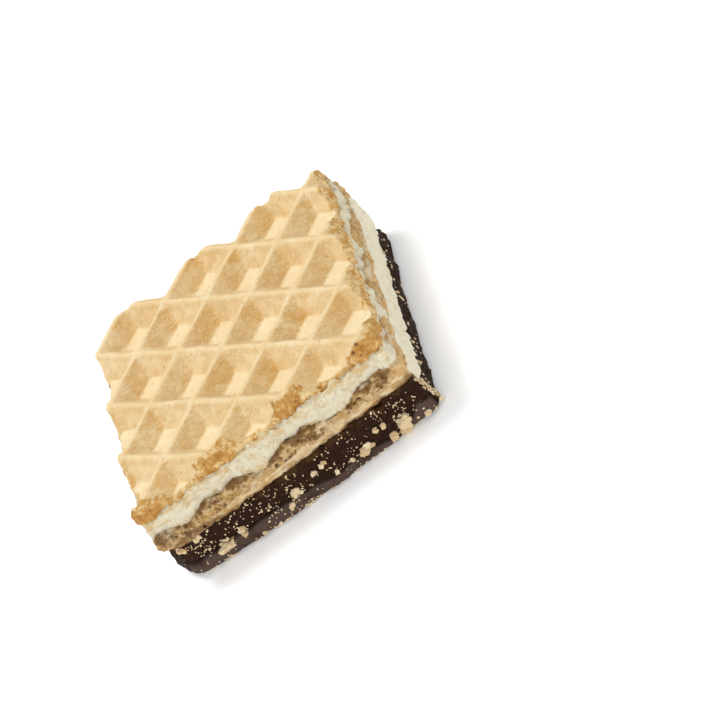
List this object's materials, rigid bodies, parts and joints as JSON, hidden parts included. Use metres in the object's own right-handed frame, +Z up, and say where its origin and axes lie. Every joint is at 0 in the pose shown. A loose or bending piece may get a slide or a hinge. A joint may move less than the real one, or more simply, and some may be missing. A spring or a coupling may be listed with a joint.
{
  "type": "layered wafer piece",
  "caption": "Square piece of layered protein wafer: waffled sheets, cream fillings and a chocolate base that climbs one side.",
  "frame": {"origin": "centre of the bounding box on the flat underside of the chocolate base", "axes": "+Z up through the layers, +X along the side with the chocolate lip, +Y away from that side"},
  "size_m": [0.0391, 0.0414, 0.013],
  "materials": {
    "wafer": "matt, pale golden baked wafer",
    "cream_upper": "matt, grainy off-white cream",
    "wafer_core": "matt, porous browned wafer",
    "cream_lower": "matt, grainy cream, tan where it was coated",
    "chocolate": "satin dark chocolate with pale crumbs"
  },
  "bodies": {
    "root": {"wafer_top": "wafer", "cream_upper": "cream_upper", "wafer_middle": "wafer_core", "cream_lower": "cream_lower", "chocolate_base": "chocolate"}
  },
  "joints": []
}
